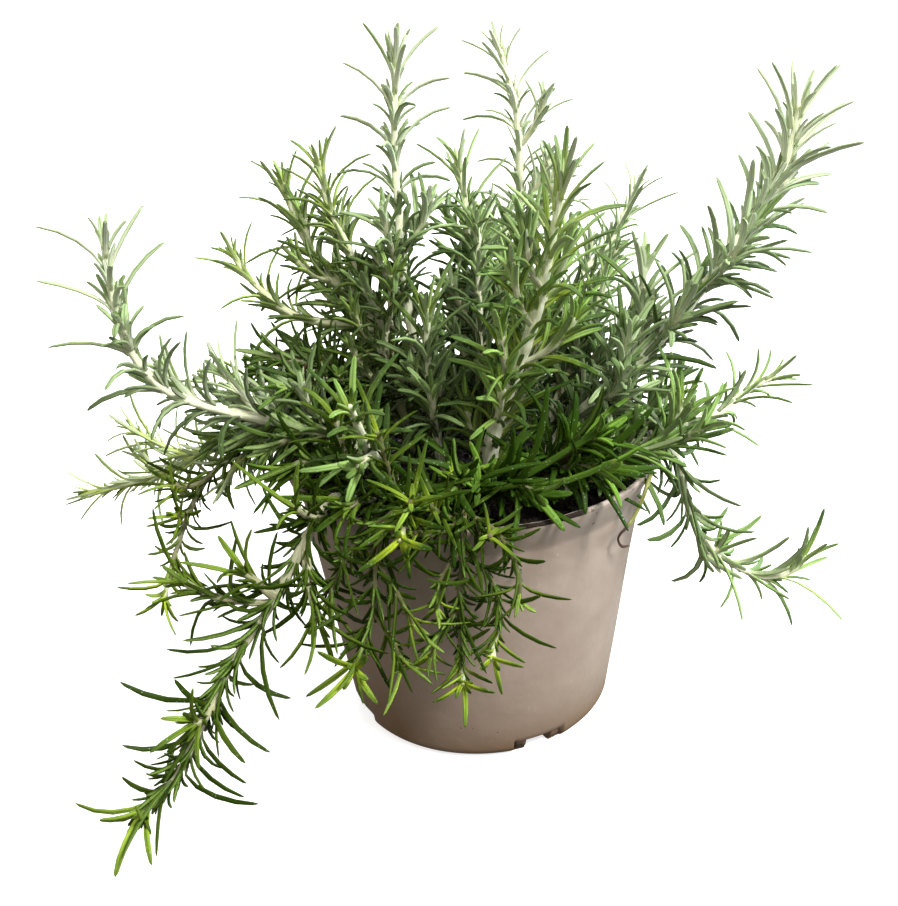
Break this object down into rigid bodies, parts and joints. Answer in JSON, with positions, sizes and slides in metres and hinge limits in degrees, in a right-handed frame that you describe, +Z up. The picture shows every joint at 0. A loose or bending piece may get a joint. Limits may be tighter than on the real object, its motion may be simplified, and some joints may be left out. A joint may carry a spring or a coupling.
{
  "type": "potted rosemary plant",
  "caption": "Rosemary in a plain tapered nursery pot: leafy stems with narrow needles stand, lean and trail over the rim from dark compost.",
  "frame": {"origin": "middle of the pot's underside, on the surface that the pot stands on", "axes": "+Z up along the pot's axis; +X along the plant's widest spread, to the right in the picture; -Y towards the picture's camera"},
  "size_m": [0.291, 0.2072, 0.2459],
  "materials": {
    "pot_plastic": "satin",
    "compost": "rough",
    "foliage": "satin",
    "bark": "rough"
  },
  "bodies": {
    "root": {"pot": "pot_plastic", "soil": "compost", "stem_tall_left": "foliage", "stem_tall_back": "foliage", "stem_mid": "foliage", "stem_mid_back": "foliage", "stem_mid_front": "foliage", "stem_front_right": "foliage", "stem_left": "foliage", "stem_left_far": "foliage", "stem_left_bush": "foliage", "stem_left_low": "foliage", "stem_left_hang": "foliage", "stem_trail": "foliage", "stem_front_hang_left": "foliage", "stem_front_hang": "foliage", "stem_front_bright": "foliage", "stem_front_small": "foliage", "stem_front_left_up": "foliage", "stem_centre_up": "foliage", "stem_right_big": "foliage", "stem_right_back": "foliage", "stem_right_low": "foliage", "stem_right_fork": "foliage", "stem_right_hang": "foliage", "stem_right_mid": "foliage", "stem_right_bush": "foliage", "stem_right_front": "foliage", "stem_front_mass": "foliage", "stem_back_up": "foliage", "stem_back_left": "foliage", "stem_back_hang": "foliage", "stem_back_right": "foliage"}
  },
  "joints": []
}
